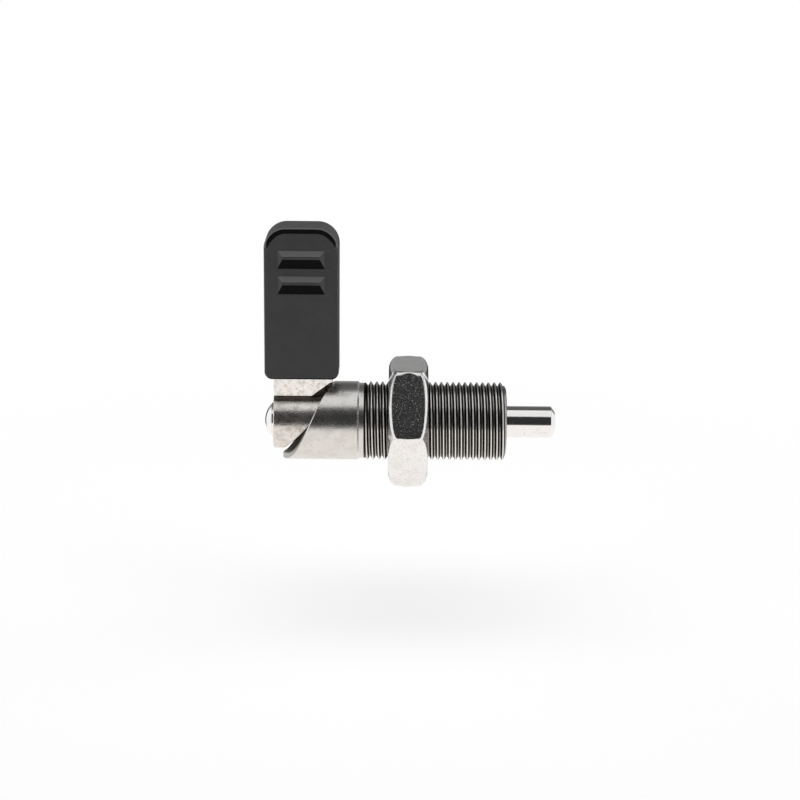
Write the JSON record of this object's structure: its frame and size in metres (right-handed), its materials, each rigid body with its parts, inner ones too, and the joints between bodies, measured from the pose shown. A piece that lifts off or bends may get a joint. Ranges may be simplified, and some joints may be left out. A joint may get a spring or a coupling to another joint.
{
  "type": "indexing plunger",
  "caption": "Cam-action indexing plunger: threaded guide with a helical cam collar, sprung locking pin, turning lever with a plastic grip sleeve, and hexagonal lock nut.",
  "frame": {"origin": "on the plunger axis, at the collar's front shoulder, where the mounting thread begins", "axes": "+X along the plunger axis towards the pin's tip, +Z along the lever at rest, +Y away from the viewer of the reference view"},
  "size_m": [0.0739, 0.0346, 0.0656],
  "materials": {
    "turned_steel": "fine turned stainless steel",
    "ground_steel": "ground stainless steel",
    "spring_wire": "drawn spring wire",
    "cast_steel": "precision-cast stainless steel, blasted",
    "nut_steel": "machined stainless steel",
    "black_plastic": "fine matt moulded plastic"
  },
  "bodies": {
    "guide": {"guide_body": "turned_steel", "spring_seat": "turned_steel", "compression_spring": "spring_wire"},
    "plunger": {"plunger_pin": "ground_steel", "head_washer": "ground_steel"},
    "lever": {"lever": "cast_steel", "grip_sleeve": "black_plastic"},
    "nut": {"lock_nut": "nut_steel"}
  },
  "joints": [
    {"name": "plunger_slide", "type": "slide", "parent": "guide", "child": "plunger", "axis": [-1, 0, 0], "range_m": [0, 0.0134], "deforming": ["compression_spring"]},
    {"name": "lever_turn", "type": "hinge", "parent": "plunger", "child": "lever", "pos_m": [0, 0, 0], "axis": [1, 0, 0], "range_deg": [0, 180], "stiffness_Nm_per_rad": 0.02965, "springref_deg": -128.97},
    {"name": "nut_travel", "type": "slide", "parent": "guide", "child": "nut", "axis": [1, 0, 0], "range_m": [-0.006, 0.018]}
  ],
  "couplings": [
    {"joint": "plunger_slide", "follows": "lever_turn", "m_per_rad": 0.0042654}
  ]
}
